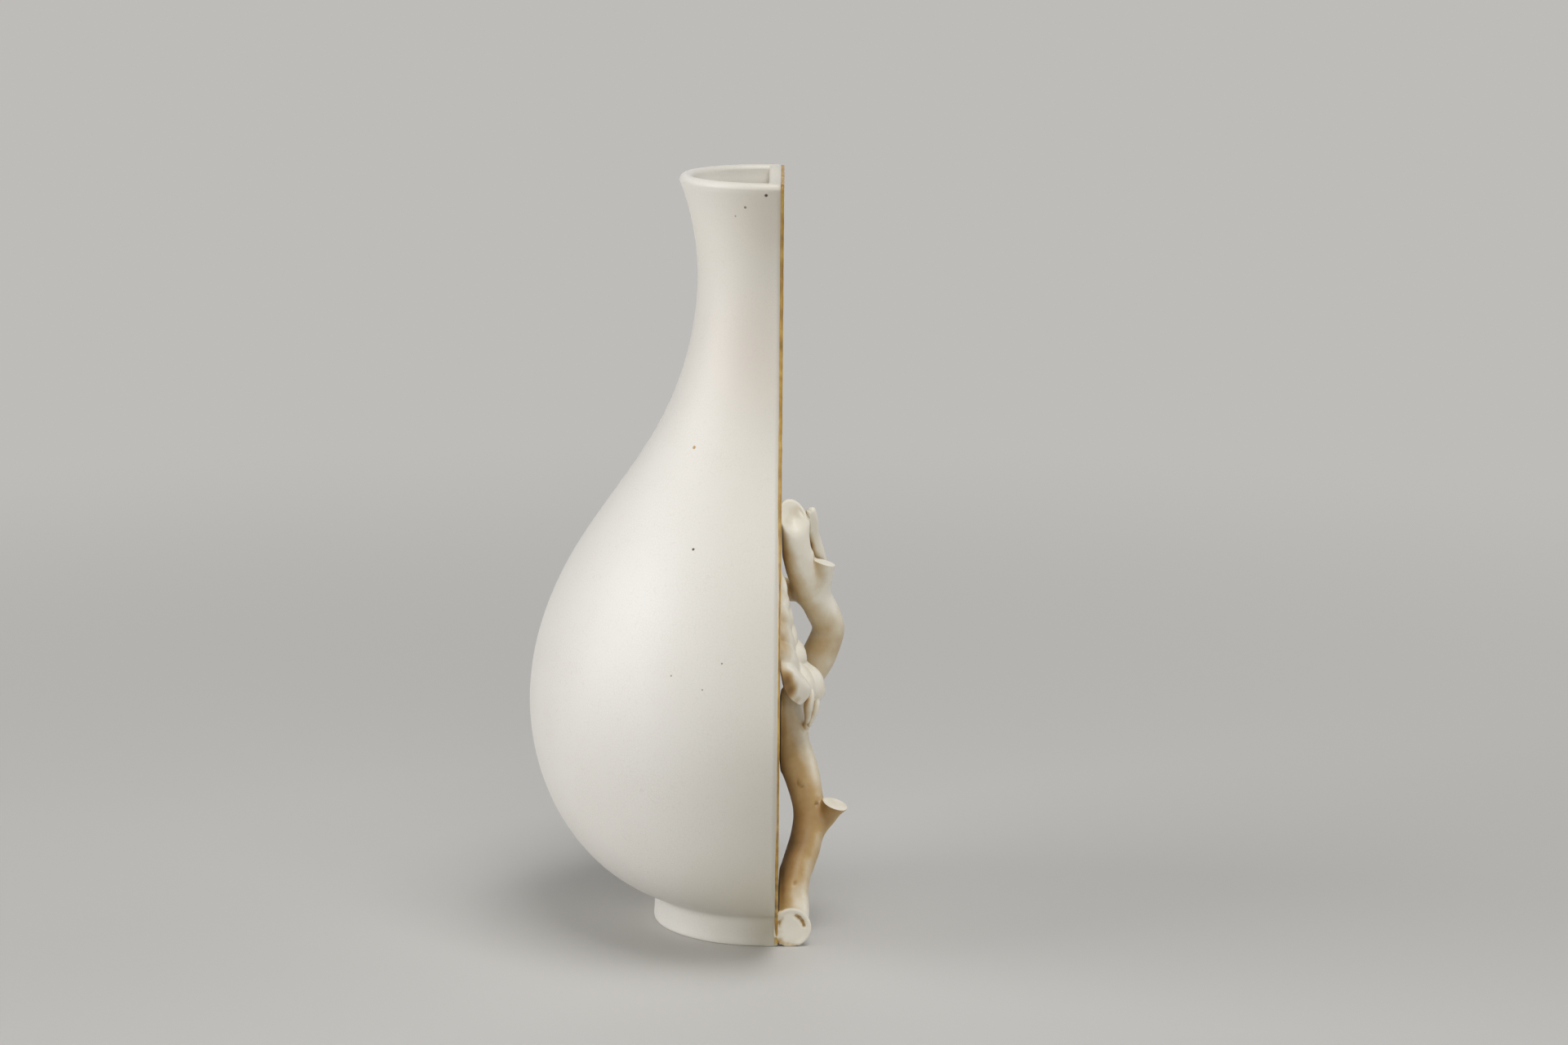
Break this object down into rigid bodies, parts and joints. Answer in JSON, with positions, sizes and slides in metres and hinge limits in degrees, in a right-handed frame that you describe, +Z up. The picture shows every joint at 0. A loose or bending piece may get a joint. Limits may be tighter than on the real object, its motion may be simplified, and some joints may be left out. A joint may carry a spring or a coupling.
{
  "type": "half bottle vase",
  "caption": "Half of a long-necked stoneware bottle closed by a flat slab, standing on half a foot ring, with a modelled branch and leaf on the flat side.",
  "frame": {"origin": "on the bottle's axis, at the table under the foot, in the plane of the cut", "axes": "+Z up, +X out of the flat side towards the branch, Y along the slab's width"},
  "size_m": [0.1271, 0.1876, 0.3],
  "materials": {
    "white_glaze": "satin white crackle glaze",
    "ochre_glaze": "satin ochre glaze",
    "branch_glaze": "satin cream glaze with ochre in the recesses"
  },
  "bodies": {
    "root": {"bottle_half_shell": "white_glaze", "foot_ring": "white_glaze", "back_slab": "white_glaze", "ochre_edge_line": "ochre_glaze", "main_branch": "branch_glaze", "lower_stub": "branch_glaze", "upper_stub": "branch_glaze", "limb_prop": "branch_glaze", "side_twig": "branch_glaze", "twig_bud": "branch_glaze", "leaf_blade": "branch_glaze", "leaf_stalk": "branch_glaze", "bud_leaf": "branch_glaze"}
  },
  "joints": []
}
